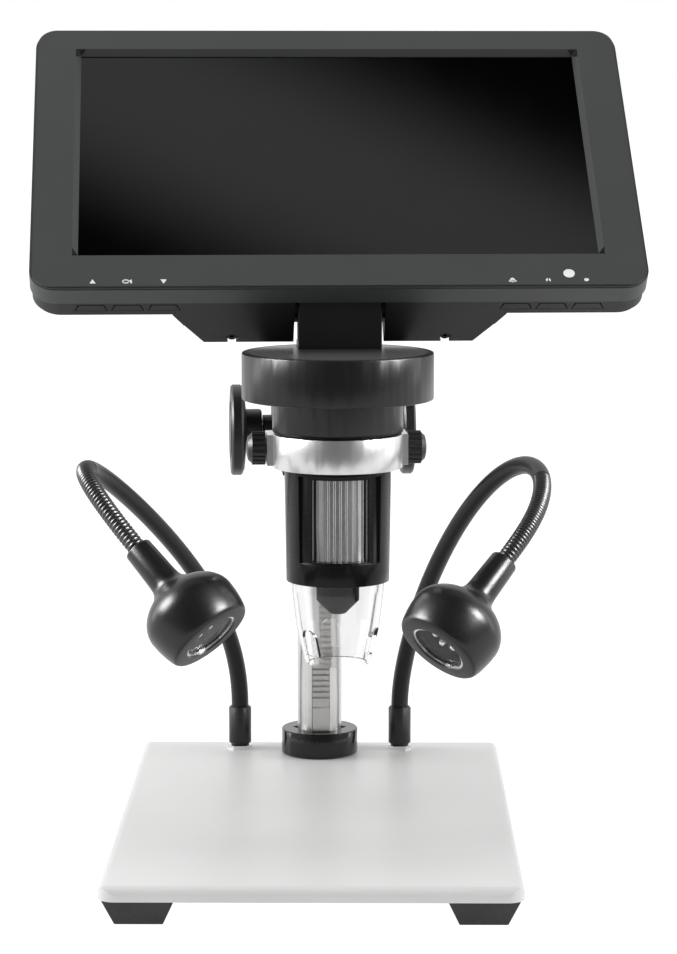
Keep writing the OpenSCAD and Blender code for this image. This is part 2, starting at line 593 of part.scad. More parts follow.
// Lamps ----------------------------------------------------------------------------------------
// points of each gooseneck: foot, straight rise, two crown points, the run into the lamp, its end
neck_l = [[-26.5, 5.5, 26.2], [-26.5, 5.5, 71.9], [-54.7, -43.7, 99.8],
  [-96.6, -68.5, 145.2], [-62.1, -101.9, 108.2], [-51.7, -108.3, 97]];
neck_r = [[26.5, 5.5, 26.2], [26.5, 5.5, 59.7], [56.8, -59.1, 149.9],
  [81.8, -27.3, 111.8], [71.3, -91.2, 110.8], [55.9, -104.6, 92.9]];
function unit(v) = v / norm(v);
function bez(p, t) = len(p) == 1 ? p[0]
  : bez([for (i = [0 : len(p) - 2]) p[i] * (1 - t) + p[i + 1] * t], t);
function foot_shift(p, s) = [for (i = [0 : 5]) i < 2 ? [s * socket_x, -socket_y, p[i][2]] : p[i]];
function along(p, t) = unit(bez([for (i = [0 : len(p) - 2]) p[i + 1] - p[i]], t));
function square_to(v, t) = unit(v - (v * t) * t);   // v turned square to the direction t
// the tube is a ring of points carried along its route without twisting, with a thinner shank at each end
steps = 56;
sides = 16;
module gooseneck(p) color("black") at_column() {
  r = neck_d / 2;
  t = concat([0, 0], [for (i = [0 : steps]) i / steps], [1, 1]);
  shift = [for (i = [0 : steps + 4]) i == 0 ? -9.2 : i == steps + 4 ? 8 : 0];
  rad = [for (i = [0 : steps + 4]) i < 2 || i > steps + 2 ? r - 0.4 : r];
  u = [for (i = 0, v = square_to([1, 0, 0], along(p, 0)); i <= steps + 4;
    i = i + 1, v = square_to(v, along(p, t[min(i, steps + 4)]))) v];
  ring = [for (i = [0 : steps + 4]) let (d = along(p, t[i]), c = bez(p, t[i]) + d * shift[i])
    for (k = [0 : sides - 1]) let (a = k * 360 / sides)
      c + rad[i] * (cos(a) * square_to(u[i], d) + sin(a) * cross(d, square_to(u[i], d)))];
  polyhedron(ring, concat([[for (k = [0 : sides - 1]) k]],
    [for (i = [0 : steps + 3], k = [0 : sides - 1], h = [0, 1]) let (a = i * sides, n = (k + 1) % sides)
      h == 0 ? [a + k, a + sides + k, a + n] : [a + n, a + sides + k, a + sides + n]],
    [[for (k = [sides - 1 : -1 : 0]) (steps + 4) * sides + k]]));
}
module at_lamp(p) at_column() {
  d = unit(p[5] - p[4]);
  translate(p[5]) rotate([0, acos(d[2]), atan2(d[1], d[0])]) children();
}
bell_z = lamp_l - 19.6;     // where a lamp head's dome begins
dome_l = 10.4;              // length of the domed part
module lamp(p) color("black") at_lamp(p) difference() {
  r = lamp_d / 2;
  l = lamp_l;
  // a sleeve, a short flare and a dome that draws in a little towards the face
  rotate_extrude() polygon(concat([[0, gap], [3.7, gap], [4.2, gap + 0.6], [4.6, bell_z - 3.6],
      [4.8, bell_z - 1.9], [5.2, bell_z - 0.7], [6, bell_z + 0.2]],
    [for (a = [30 : 6 : 90]) [r * sin(a), bell_z + dome_l - dome_l * cos(a)]],
    [[r - 0.12, l - 6.5], [r - 0.45, l - 4], [r - 0.9, l - 1.9], [r - 1.3, l - 0.8],
      [r - 1.8, l - 0.2], [r - 2.4, l], [0, l]]));
  translate([0, 0, -1]) cylinder(r = neck_d / 2 - 0.4 + fit, h = 9.2);
  translate([0, 0, l - 15]) cylinder(r = lens_d / 2 - 0.5, h = l);
  translate([0, 0, l - 3]) cylinder(r = lens_d / 2 + 0.7, h = 5);
}
module lamp_ring(p) color("silver") at_lamp(p) translate([0, 0, lamp_l - 3]) difference() {
  cylinder(r = lens_d / 2 + 0.7, h = 2.6);
  translate([0, 0, -1]) cylinder(r = lens_d / 2 - 0.6, h = 6);
  translate([0, 0, 1]) cylinder(r = lens_d / 2, h = 6);
}
module lamp_lens(p) color("lightblue", 0.5) at_lamp(p) translate([0, 0, lamp_l - 2])
  cylinder(r = lens_d / 2, h = 1.2);
module lamp_leds(p) color("white") at_lamp(p) translate([0, 0, lamp_l - 14]) {
  cylinder(r = lens_d / 2 - 0.5, h = 1.4);
  for (a = [0 : 72 : 288]) rotate([0, 0, a]) translate([4.6, 0, 1.3]) cylinder(r = 1.5, h = 1.6);
}
module socket(s) color("black") at_column()
  translate([s * socket_x, -socket_y, plate_z + 1.2]) difference() {
  union() {
    cylinder(r1 = socket_d / 2 - 0.9, r2 = socket_d / 2, h = 1 + eps);
    translate([0, 0, 1]) cylinder(r = socket_d / 2, h = socket_h - 1.4);
    translate([0, 0, socket_h - 0.4]) cylinder(r = socket_d / 2 - 0.4, h = 0.4);
  }
  translate([0, 0, socket_h - 9]) cylinder(r = neck_d / 2 - 0.4 + fit, h = 20);
}
module socket_nut(s) color("silver") at_column() translate([s * socket_x, -socket_y, plate_z]) {
  linear_extrude(1.2) circle(r = socket_d / 2 + 0.3, $fn = 6);
  translate([0, 0, -base_t]) cylinder(r = 2, h = base_t + 0.1);
}
nl = foot_shift(neck_l, -1);
nr = foot_shift(neck_r, 1);
module socket_nut_left() socket_nut(-1);
module socket_left() socket(-1);
module gooseneck_left() gooseneck(nl);
module lamp_left() lamp(nl);
module lamp_ring_left() lamp_ring(nl);
module lamp_lens_left() lamp_lens(nl);
module lamp_leds_left() lamp_leds(nl);
module socket_nut_right() socket_nut(1);
module socket_right() socket(1);
module gooseneck_right() gooseneck(nr);
module lamp_right() lamp(nr);
module lamp_ring_right() lamp_ring(nr);
module lamp_lens_right() lamp_lens(nr);
module lamp_leds_right() lamp_leds(nr);

base_plate();
feet();
foot_screws();
collar();
column();
column_bolt();
rack();
column_cap();
carriage();
holder_ring();
arm_screws();
focus_shaft();
pinion();
knob_left();
knob_right();
thumb_left();
thumb_right();
scope_body();
head_drum();
drum_cap();
focus_roller();
lens_barrel();
lens_glass();
led_board();
sensor_board();
nose_cap();
neck();
neck_screws();
hinge_pin();
hinge_washers();
front_bezel();
screen_panel();
main_board();
battery();
back_shell();
shell_screws();
button_up();
button_back();
button_down();
button_photo();
button_mode();
button_power();
ir_window();
socket_nut_left();
socket_left();
gooseneck_left();
lamp_left();
lamp_ring_left();
lamp_lens_left();
lamp_leds_left();
socket_nut_right();
socket_right();
gooseneck_right();
lamp_right();
lamp_ring_right();
lamp_lens_right();
lamp_leds_right();
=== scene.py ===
# %% [markdown]
# # A desktop digital microscope
# The object is a small stand: a tilting seven-inch screen on a drum head, a slim tube with a clear nose cap,
# a rack column, and two lamps on goosenecks. Its solids come from CAD as a fixed frame, in metres, with +Z up.
# We don't move them. We give them finishes and softened edges, and we model what a solid can't show:
# the ribs of the goosenecks, the marks on the bezel and the lamps' optics.

# %% Load the frame
import json
import math
import bpy
from mathutils import Matrix, Vector


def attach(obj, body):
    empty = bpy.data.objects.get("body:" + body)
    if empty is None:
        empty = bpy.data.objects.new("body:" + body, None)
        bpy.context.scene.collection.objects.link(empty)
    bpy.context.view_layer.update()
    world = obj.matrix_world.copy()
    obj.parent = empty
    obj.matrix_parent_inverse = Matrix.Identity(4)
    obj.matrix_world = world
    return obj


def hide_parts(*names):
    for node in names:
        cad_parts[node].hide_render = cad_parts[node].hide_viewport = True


MM = 0.001
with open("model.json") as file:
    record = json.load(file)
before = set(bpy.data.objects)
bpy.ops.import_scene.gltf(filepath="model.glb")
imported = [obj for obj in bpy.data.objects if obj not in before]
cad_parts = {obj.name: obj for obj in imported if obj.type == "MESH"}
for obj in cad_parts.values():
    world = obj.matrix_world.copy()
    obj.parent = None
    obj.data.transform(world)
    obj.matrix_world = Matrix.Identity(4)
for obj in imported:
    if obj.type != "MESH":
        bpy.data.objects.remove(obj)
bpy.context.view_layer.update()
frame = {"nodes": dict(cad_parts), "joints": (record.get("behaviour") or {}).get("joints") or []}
joints = {joint["name"]: joint for joint in frame["joints"]}
bpy.ops.object.select_all(action="DESELECT")

# %% [markdown]
# ## Where the viewer stands
# A long lens far away keeps the base plate from spreading too much. The camera stands 0.9 m in front, a little
# above the screen's hinge, and looks down by seven and a half degrees. A portrait frame is measured along its
# long side, so the sensor's 36 mm belong to the height of the picture.

# %% Camera
LENS_MM, SENSOR_MM = 113.2, 36
CAMERA_AT = (0.00962, -0.89607, 0.23343)
PITCH_DOWN, YAW = 7.62, 0.47
NEAREST_SEEN = 0.05
bpy.ops.object.camera_add(
    location=CAMERA_AT,
    rotation=(math.radians(90 - PITCH_DOWN), 0, math.radians(YAW)),
)
camera = bpy.context.object
camera.data.lens = LENS_MM
camera.data.sensor_width = SENSOR_MM
camera.data.clip_start = NEAREST_SEEN
bpy.context.scene.camera = camera
print("camera at", CAMERA_AT)

# %% [markdown]
# ## The room: what each kind of ray sees
# Black plastic shows hardly any colour of its own. What we read as its shape is the reflection of large soft
# lamps, so the lamps matter more than the paint. One world serves three kinds of ray. The eye sees white paper.
# Matt faces get an even, mild light. Mirrors and glass see white paper behind the stand and a dim room in front
# of it, and a mirror that looks straight up, as the display does, sees a dark ceiling with a slanting light band.

# %% Helpers for levels
def plug(tree, socket, value):
    """Sets a socket to a number, or links it to another node's output."""
    if isinstance(value, (int, float)):
        socket.default_value = value
    else:
        tree.links.new(value, socket)


def math_step(tree, kind, *values):
    """A Math node and its result."""
    step = tree.nodes.new("ShaderNodeMath")
    step.operation = kind
    for socket, value in zip(step.inputs, values):
        plug(tree, socket, value)
    return step.outputs[0]


def even_step(tree, value, start, stop, low, high, kind="LINEAR"):
    """A level that runs evenly from low to high while value runs from start to stop."""
    step = tree.nodes.new("ShaderNodeMapRange")
    step.interpolation_type = kind
    settings = {"Value": value, "From Min": start, "From Max": stop, "To Min": low, "To Max": high}
    for socket, setting in settings.items():
        plug(tree, step.inputs[socket], setting)
    return step.outputs["Result"]


def soft_step(tree, *values):
    """The same with a soft start and a soft end."""
    return even_step(tree, *values, kind="SMOOTHSTEP")


def blend_levels(tree, share, first, second):
    """The first level where share is 0, the second where it is 1."""
    step = tree.nodes.new("ShaderNodeMix")
    for socket, value in (("Factor", share), ("A", first), ("B", second)):
        plug(tree, step.inputs[socket], value)
    return step.outputs["Result"]


# %% World
WHITE_PAPER = 1.0
SIDES = (0.35, 0.95)             # how far sideways a ray must look before the sides of the room take over
LIT_AHEAD_TO_SIDE = (0.47, 1.2)  # what matt faces get from in front and from the side
DIM_AHEAD_TO_SIDE = (0.16, 0.5)  # what mirrors see there
TO_BACK = (0.05, 0.55)           # how far backwards a mirrored ray must look to meet the paper
world = bpy.data.worlds.new("studio")
bpy.context.scene.world = world
world.use_nodes = True
sky = world.node_tree
backdrop = sky.nodes["Background"]
backdrop.inputs["Color"].default_value = (1, 1, 1, 1)
place = sky.nodes.new("ShaderNodeTexCoord")
split = sky.nodes.new("ShaderNodeSeparateXYZ")
sky.links.new(place.outputs["Generated"], split.inputs["Vector"])
to_x, to_y, to_z = split.outputs
sideways = math_step(sky, "ABSOLUTE", to_x)
lit_room = soft_step(sky, sideways, *SIDES, *LIT_AHEAD_TO_SIDE)
dim_room = soft_step(sky, sideways, *SIDES, *DIM_AHEAD_TO_SIDE)
mirrored_room = blend_levels(sky, soft_step(sky, to_y, *TO_BACK, 0, 1), dim_room, WHITE_PAPER)
print("room levels:", WHITE_PAPER, LIT_AHEAD_TO_SIDE, DIM_AHEAD_TO_SIDE)

# %% The band on the ceiling
BAND_X, BAND_X_SPREAD = 0.035, 0.17
BAND_Y, BAND_Y_SPREAD = 0.066, 0.066
BAND_EDGE = (0.16, 0.82)        # from the band's bright middle to the dark beside it
BAND_LEVEL = 0.62
OVERHEAD = (0.955, 0.985)       # how steeply upwards a mirrored ray must look to meet the ceiling
across_band = math_step(sky, "DIVIDE", math_step(sky, "SUBTRACT", to_x, BAND_X), BAND_X_SPREAD)
along_band = math_step(sky, "DIVIDE", math_step(sky, "SUBTRACT", to_y, BAND_Y), BAND_Y_SPREAD)
off_band = math_step(sky, "ABSOLUTE", math_step(sky, "ADD", across_band, along_band))
ceiling = soft_step(sky, off_band, *BAND_EDGE, BAND_LEVEL, 0.0)
mirrored = blend_levels(sky, soft_step(sky, to_z, *OVERHEAD, 0, 1), mirrored_room, ceiling)
ray = sky.nodes.new("ShaderNodeLightPath")
mirror_ray = math_step(sky, "MAXIMUM", ray.outputs["Is Glossy Ray"], ray.outputs["Is Transmission Ray"])
room = blend_levels(sky, mirror_ray, lit_room, mirrored)
sky.links.new(blend_levels(sky, ray.outputs["Is Camera Ray"], room, WHITE_PAPER), backdrop.inputs["Strength"])
print("world ready, with", len(sky.nodes), "nodes")

# %% [markdown]
# ## Lamps and cards
# Three large area lamps light the matt faces, and mirrors don't see them. Four cards do the opposite: only glossy
# faces see them, so they draw the highlights. One set of lamps could do both jobs, but then every change of a
# highlight would change the shading too. Two strips reach down to the table for the upright walls, and two strong
# panels stand to the left and right for the domes of the lamp heads.

# %% Soft lamps
STAND_MIDDLE = (0, 0, 0.14)


def softbox(name, at, size, watts, aim=STAND_MIDDLE):
    """A rectangular area lamp that faces the object."""
    bpy.ops.object.light_add(type="AREA", location=at)
    lamp = bpy.context.object
    lamp.name = name
    lamp.data.shape = "RECTANGLE"
    lamp.data.size, lamp.data.size_y = size
    lamp.data.energy = watts
    lamp.rotation_euler = (Vector(aim) - Vector(at)).to_track_quat("-Z", "Y").to_euler()
    return lamp


for name, at, size, watts in (
        ("lamp_top", (-0.3, 0.35, 1.3), (1.2, 1.0), 7.6),
        ("lamp_left", (-1.3, 0.1, 0.7), (0.8, 1.0), 11),
        ("lamp_right", (1.3, 0.0, 0.65), (0.6, 1.0), 8)):
    softbox(name, at, size, watts).visible_glossy = False
print("three soft lamps")

# %% Cards
WALLS_AT = (0, 0, 0.12)
LEFT_DOME_AT, RIGHT_DOME_AT = (-0.06, -0.04, 0.09), (0.05, -0.04, 0.09)
for name, at, size, watts, aim in (
        ("strip_left", (-1.2, 0.48, 0.4), (0.34, 0.9), 3.4, WALLS_AT),
        ("strip_right", (1.25, 0.3, 0.4), (0.3, 0.9), 2.6, WALLS_AT),
        ("panel_left", (-1.2, -0.06, 0.72), (0.7, 0.6), 38, LEFT_DOME_AT),
        ("panel_right", (1.1, -0.42, 0.78), (0.6, 0.5), 42, RIGHT_DOME_AT)):
    softbox(name, at, size, watts, aim).visible_diffuse = False
print("four cards")

# %% [markdown]
# ## Finishes
# Every finish is a Principled shader with a fine grain of its own. The grain reads Object coordinates, which
# are metres here, so a scale of 3000 gives spots of a third of a millimetre. Spark-eroded moulds leave such a
# grain on plastic; a lathe leaves rings on a turned part, and drawing leaves lines along a bar.

# %% A plain finish
def new_finish(name, colour, roughness, metal=0.0, **sockets):
    """A material with its constant values set on the shader itself."""
    finish = bpy.data.materials.new(name)
    finish.use_nodes = True
    shader = finish.node_tree.nodes["Principled BSDF"]
    shader.inputs["Base Color"].default_value = (*colour, 1)
    shader.inputs["Roughness"].default_value = roughness
    shader.inputs["Metallic"].default_value = metal
    for socket, value in sockets.items():
        shader.inputs[socket.replace("_", " ")].default_value = value
    return finish


# %% Noise on the object's own coordinates
def own_noise(tree, scale, detail, stretch=(1, 1, 1)):
    """A Noise texture that follows the piece when it moves."""
    place = tree.nodes.new("ShaderNodeTexCoord")
    turn = tree.nodes.new("ShaderNodeMapping")
    turn.inputs["Scale"].default_value = stretch
    noise = tree.nodes.new("ShaderNodeTexNoise")
    noise.inputs["Scale"].default_value = scale
    noise.inputs["Detail"].default_value = detail
    tree.links.new(place.outputs["Object"], turn.inputs["Vector"])
    tree.links.new(turn.outputs["Vector"], noise.inputs["Vector"])
    return noise.outputs["Fac"]


# %% Grain
GRAIN_DETAIL = 3.0
NOISE_LOW, NOISE_HIGH = 0.3, 0.7


def grain(finish, scale, depth_mm, rough=None, stretch=(1, 1, 1)):
    """Adds a fine bump of depth_mm and, where rough is set, a roughness that changes between its two values."""
    tree = finish.node_tree
    shader = tree.nodes["Principled BSDF"]
    noise = own_noise(tree, scale, GRAIN_DETAIL, stretch)
    if depth_mm:
        bump = tree.nodes.new("ShaderNodeBump")
        bump.inputs["Strength"].default_value = 1.0
        bump.inputs["Distance"].default_value = depth_mm * MM
        tree.links.new(noise, bump.inputs["Height"])
        tree.links.new(bump.outputs["Normal"], shader.inputs["Normal"])
    if rough:
        tree.links.new(even_step(tree, noise, NOISE_LOW, NOISE_HIGH, *rough), shader.inputs["Roughness"])
    return finish


# %% Slow changes of colour
MOTTLE_DETAIL = 4.0
MOTTLE_FROM, MOTTLE_TO = 0.35, 0.65


def mottle(finish, colour_a, colour_b, scale):
    """A slow change between two near colours, as moulded or painted surfaces have."""
    tree = finish.node_tree
    ramp = tree.nodes.new("ShaderNodeValToRGB")
    ends = ramp.color_ramp.elements
    ends[0].position, ends[1].position = MOTTLE_FROM, MOTTLE_TO
    ends[0].color, ends[1].color = (*colour_a, 1), (*colour_b, 1)
    tree.links.new(own_noise(tree, scale, MOTTLE_DETAIL), ramp.inputs["Fac"])
    tree.links.new(ramp.outputs["Color"], tree.nodes["Principled BSDF"].inputs["Base Color"])
    return finish


# %% [markdown]
# ### Finishes of the stand
# The plate is painted silver, so it is a bright colour without any metal. The column is drawn and the holder ring is
# turned. Both are bare aluminium, and only the grain tells them apart: one Mapping node stretches it along Z into
# the lines of a drawn bar, and another squeezes it along Z into the rings of a lathe. Black plastic is never quite
# even, so it also gets a slow mottle between two near blacks.

# %% Finishes of the stand and the column
satin_black = mottle(grain(new_finish("satin_black", (0.008, 0.008, 0.009), 0.4),
    2600, 0.006, rough=(0.34, 0.46)), (0.007, 0.007, 0.008), (0.010, 0.010, 0.011), 60)
plate_silver = mottle(grain(new_finish("plate_silver", (0.64, 0.64, 0.635), 0.38),
    2800, 0.004, rough=(0.34, 0.44)), (0.63, 0.63, 0.625), (0.65, 0.65, 0.645), 25)
foot_rubber = mottle(grain(new_finish("foot_rubber", (0.02, 0.02, 0.02), 0.65),
    1800, 0.02, rough=(0.58, 0.74)), (0.017, 0.017, 0.017), (0.024, 0.024, 0.024), 90)
turned_aluminium = grain(new_finish("turned_aluminium", (0.65, 0.65, 0.65), 0.3, 1.0),
    90, 0, rough=(0.29, 0.31), stretch=(1, 1, 40))
drawn_aluminium = grain(new_finish("drawn_aluminium", (0.6, 0.6, 0.59), 0.3, 1.0),
    1600, 0.008, rough=(0.26, 0.38), stretch=(1, 1, 0.02))
bright_steel = grain(new_finish("bright_steel", (0.62, 0.61, 0.59), 0.32, 1.0),
    2400, 0.004, rough=(0.26, 0.4))
black_oxide = grain(new_finish("black_oxide", (0.02, 0.02, 0.02), 0.4, 0.6),
    3000, 0.004, rough=(0.34, 0.46))
chrome = grain(new_finish("chrome", (0.86, 0.86, 0.86), 0.1, 1.0),
    400, 0.001, rough=(0.07, 0.14))
brass = grain(new_finish("brass", (0.75, 0.55, 0.2), 0.3, 1.0),
    2000, 0.004, rough=(0.25, 0.36))
polished_black = grain(new_finish("polished_black", (0.006, 0.006, 0.0065), 0.15),
    40, 0.01, rough=(0.12, 0.18))
print("finishes:", len(bpy.data.materials))

# %% [markdown]
# ### Finishes of the microscope
# The tube is a glossy moulding, and the nose cap is clear. The drum's lid is a paler grey than the drum: painted
# light, standing for its lit top. Clear plastic could be faked with alpha, but only transmission bends what lies
# behind it. Its index is set a little under that of acrylic, which keeps the cap's edges from going black.

# %% Finishes of the microscope
gloss_black = grain(new_finish("gloss_black", (0.006, 0.006, 0.0065), 0.25, Specular_IOR_Level=0.16),
    1600, 0.001, rough=(0.22, 0.28))
drum_black = grain(new_finish("drum_black", (0.006, 0.006, 0.007), 0.3, Specular_IOR_Level=0.38),
    2600, 0, rough=(0.3, 0.33))
# The lid's paler grey is painted light for the drum's lit top.
lid_grey_painted_light = grain(new_finish("lid_grey_painted_light", (0.07, 0.07, 0.072), 0.3, Specular_IOR_Level=1.0),
    900, 0, rough=(0.28, 0.36))
barrel_black = grain(new_finish("barrel_black", (0.002, 0.002, 0.002), 0.5, Specular_IOR_Level=0.05),
    2000, 0.002)
ridged_steel = grain(new_finish("ridged_steel", (0.62, 0.62, 0.62), 0.2, 1.0),
    90, 0, rough=(0.16, 0.26))
clear_plastic = grain(new_finish("clear_plastic", (0.88, 0.88, 0.88), 0.06, Transmission_Weight=1.0, IOR=1.38),
    300, 0.002)
lens_glass = grain(new_finish("lens_glass", (0.98, 1, 1), 0.02, Transmission_Weight=1.0, IOR=1.5),
    200, 0.0005)
board_green = mottle(grain(new_finish("board_green", (0.01, 0.10, 0.04), 0.35),
    1500, 0.01), (0.008, 0.09, 0.03), (0.015, 0.12, 0.05), 200)
chip_white = grain(new_finish("chip_white", (0.80, 0.80, 0.76), 0.4),
    2000, 0.004)
print("finishes:", len(bpy.data.materials))

# %% [markdown]
# ### Finishes of the screen
# The bezel is a charcoal moulding with the fine grain of its mould, and the shell behind it is darker and coarser.
# The display is off, so it is a black mirror: hardly any colour and a very low roughness. An image on it could hide
# that, but the light band on the ceiling gives it the sheen of real glass.

# %% Finishes of the screen
bezel_charcoal = mottle(grain(new_finish("bezel_charcoal", (0.045, 0.047, 0.047), 0.45),
    3200, 0.006, rough=(0.42, 0.54)), (0.044, 0.046, 0.046), (0.047, 0.049, 0.049), 40)
shell_black = mottle(grain(new_finish("shell_black", (0.010, 0.010, 0.011), 0.5),
    2200, 0.012, rough=(0.44, 0.58)), (0.009, 0.009, 0.010), (0.012, 0.012, 0.013), 40)
display_glass = grain(new_finish("display_glass", (0.0008, 0.0008, 0.0009), 0.05),
    60, 0, rough=(0.045, 0.06))
window_white = mottle(grain(new_finish("window_white", (0.8, 0.8, 0.8), 0.12),
    900, 0.001), (0.78, 0.78, 0.78), (0.85, 0.85, 0.85), 300)
mark_white = grain(new_finish("mark_white", (0.75, 0.75, 0.75), 0.4),
    3000, 0.002)
pack_grey = grain(new_finish("pack_grey", (0.2, 0.22, 0.28), 0.3),
    1200, 0.01)
print("finishes:", len(bpy.data.materials))

# %% [markdown]
# ### Finishes of the lamps
# The heads are glossy black mouldings, and the sleeves of the necks are rubber. The ribs get a shinier black of their
# own, because each is so narrow that only its glint shows. The lights behind the lenses could be real lamps, but
# they are off. They are bright and metallic instead, so they catch the room as small reflectors do.

# %% Finishes of the lamps and their necks
lamp_black = mottle(grain(new_finish("lamp_black", (0.006, 0.006, 0.0065), 0.25, Specular_IOR_Level=0.42),
    1500, 0.001, rough=(0.28, 0.34)), (0.005, 0.005, 0.006), (0.007, 0.007, 0.008), 70)
neck_rubber = grain(new_finish("neck_rubber", (0.006, 0.006, 0.006), 0.36, Specular_IOR_Level=0.3),
    2600, 0.0015, rough=(0.32, 0.4))
rib_black = grain(new_finish("rib_black", (0.005, 0.005, 0.005), 0.2, Specular_IOR_Level=0.8),
    2600, 0, rough=(0.3, 0.34))
lamp_glass = grain(new_finish("lamp_glass", (0.9, 0.9, 0.9), 0.02, Transmission_Weight=1.0, IOR=1.14),
    200, 0.0005)
led_grey = grain(new_finish("led_grey", (0.02, 0.021, 0.02), 0.2),
    700, 0.002, rough=(0.12, 0.2))
light_clear = grain(new_finish("light_clear", (0.85, 0.85, 0.85), 0.1, 0.9),
    900, 0, rough=(0.06, 0.12))
print("finishes:", len(bpy.data.materials))

# %% [markdown]
# ## Dress the CAD nodes
# A real moulding or turned part never has a knife edge. The mesh of a node is loose triangles, so two live
# modifiers do the work on each: Weld joins the corners, and Bevel rounds what is sharper than thirty degrees.
# They leave the node's own mesh as it is.

# %% Helper for nodes
WELD_MM = 0.002
SHARP = math.radians(30)
EDGE_SEGMENTS = 2


def dress(name, finish, edge_mm=0.0):
    """Gives a CAD node its finish and, where edge_mm is set, edges of that radius."""
    node = frame["nodes"][name]
    node.data.materials.clear()
    node.data.materials.append(finish)
    if edge_mm:
        weld = node.modifiers.new("weld", "WELD")
        weld.merge_threshold = WELD_MM * MM
        bevel = node.modifiers.new("soft_edge", "BEVEL")
        bevel.width = edge_mm * MM
        bevel.segments = EDGE_SEGMENTS
        bevel.limit_method = "ANGLE"
        bevel.angle_limit = SHARP
        bevel.harden_normals = True
        bevel.use_clamp_overlap = True


# %% Stand and column
for name, finish, edge_mm in (
        ("base_plate", plate_silver, 0), ("feet", foot_rubber, 0.3), ("foot_screws", black_oxide, 0),
        ("collar", polished_black, 0.15), ("column", drawn_aluminium, 0), ("column_bolt", bright_steel, 0),
        ("rack", bright_steel, 0), ("column_cap", satin_black, 0.3),
        ("socket_nut_left", chrome, 0.1), ("socket_nut_right", chrome, 0.1),
        ("socket_left", satin_black, 0.1), ("socket_right", satin_black, 0.1)):
    dress(name, finish, edge_mm)
print("stand dressed")

# %% Carriage, holder and focus drive
for name, finish, edge_mm in (
        ("carriage", satin_black, 0.3), ("holder_ring", turned_aluminium, 0.3), ("arm_screws", black_oxide, 0),
        ("focus_shaft", bright_steel, 0), ("pinion", brass, 0), ("knob_left", satin_black, 0),
        ("knob_right", satin_black, 0), ("thumb_left", satin_black, 0), ("thumb_right", satin_black, 0)):
    dress(name, finish, edge_mm)
print("carriage dressed")

# %% Microscope
for name, finish, edge_mm in (
        ("scope_body", gloss_black, 0.2), ("head_drum", drum_black, 0.5), ("drum_cap", lid_grey_painted_light, 0),
        ("focus_roller", ridged_steel, 0), ("lens_barrel", barrel_black, 0), ("lens_glass", lens_glass, 0),
        ("led_board", chip_white, 0), ("sensor_board", board_green, 0), ("nose_cap", clear_plastic, 0),
        ("neck", satin_black, 0.4), ("neck_screws", black_oxide, 0), ("hinge_pin", bright_steel, 0),
        ("hinge_washers", black_oxide, 0)):
    dress(name, finish, edge_mm)
print("microscope dressed")

# %% Screen and buttons
for name, finish in (
        ("front_bezel", bezel_charcoal), ("screen_panel", display_glass), ("main_board", board_green),
        ("battery", pack_grey), ("back_shell", shell_black), ("shell_screws", black_oxide),
        ("ir_window", window_white)):
    dress(name, finish)
for job in ("up", "back", "down", "photo", "mode", "power"):
    dress("button_" + job, shell_black)
print("screen dressed")

# %% Lenses and lamp boards
for end in ("left", "right"):
    dress("lamp_lens_" + end, lamp_glass)
    dress("lamp_leds_" + end, led_grey)
print("lenses and lamp boards dressed")

# %% [markdown]
# ## The ribs of the goosenecks
# A gooseneck is a steel spiral with a black sleeve over it. The sleeve is smooth up to the crown, and from there to
# the lamp the spiral shows as a row of fine ribs. Carving them by hand would take hours. We turn one rib out of a
# circle, ring by ring, repeat it with an Array, and bend the straight row along the neck's route with a Curve
# modifier. The route is the one that the solid follows.

# %% A helper for turned shapes
def turned(name, steps, sides=24, cap_ends=False):
    """A circle extruded ring by ring along Z. steps are (height, radius) in millimetres."""
    bpy.ops.object.select_all(action="DESELECT")
    bpy.ops.mesh.primitive_circle_add(vertices=sides, radius=steps[0][1] * MM, location=(0, 0, 0),
                                      fill_type="NGON" if cap_ends else "NOTHING")
    piece = bpy.context.object
    piece.name = name
    bpy.ops.object.mode_set(mode="EDIT")
    bpy.ops.mesh.select_all(action="SELECT")
    bpy.ops.transform.translate(value=(0, 0, steps[0][0] * MM))
    extrude = bpy.ops.mesh.extrude_region_move if cap_ends else bpy.ops.mesh.extrude_edges_move
    for (low, old), (high, new) in zip(steps, steps[1:]):
        extrude(TRANSFORM_OT_translate={"value": (0, 0, (high - low) * MM)})
        if new != old:
            bpy.ops.transform.resize(value=(new / old, new / old, 1), center_override=(0, 0, high * MM))
    bpy.ops.mesh.select_all(action="SELECT")
    bpy.ops.mesh.normals_make_consistent(inside=False)
    bpy.ops.object.mode_set(mode="OBJECT")
    return piece


# %% A helper that ends every piece
def settle(piece, body, finish, *nodes):
    """Puts a piece's place into its mesh, gives it its finish, unless it has one, and hangs it on its body."""
    bpy.ops.object.select_all(action="DESELECT")
    piece.select_set(True)
    bpy.context.view_layer.objects.active = piece
    bpy.ops.object.transform_apply(location=True, rotation=True, scale=True)
    if finish:
        piece.data.materials.clear()
        piece.data.materials.append(finish)
    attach(piece, body)
    if nodes:
        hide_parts(*nodes)
    return piece


# %% The route of each neck
COLUMN_AT = Vector((-4.6, 76.2, 0))
ROUTES = {
    "left": [(-26.5, 5.5, 26.2), (-26.5, 5.5, 71.9), (-54.7, -43.7, 99.8), (-96.6, -68.5, 145.2),
             (-62.1, -101.9, 108.2), (-51.7, -108.3, 97)],
    "right": [(26.5, 5.5, 26.2), (26.5, 5.5, 59.7), (56.8, -59.1, 149.9), (81.8, -27.3, 111.8),
              (71.3, -91.2, 110.8), (55.9, -104.6, 92.9)],
}
ROUTE_STEPS = 160
FOOT_SHANK, LAMP_SHANK = 9.2, 8.0           # the straight ends, inside the socket and inside the lamp


def on_route(points, t):
    """The point at share t of a Bezier route, by repeated blending of neighbours."""
    points = [Vector(point) for point in points]
    while len(points) > 1:
        points = [a.lerp(b, t) for a, b in zip(points, points[1:])]
    return points[0]


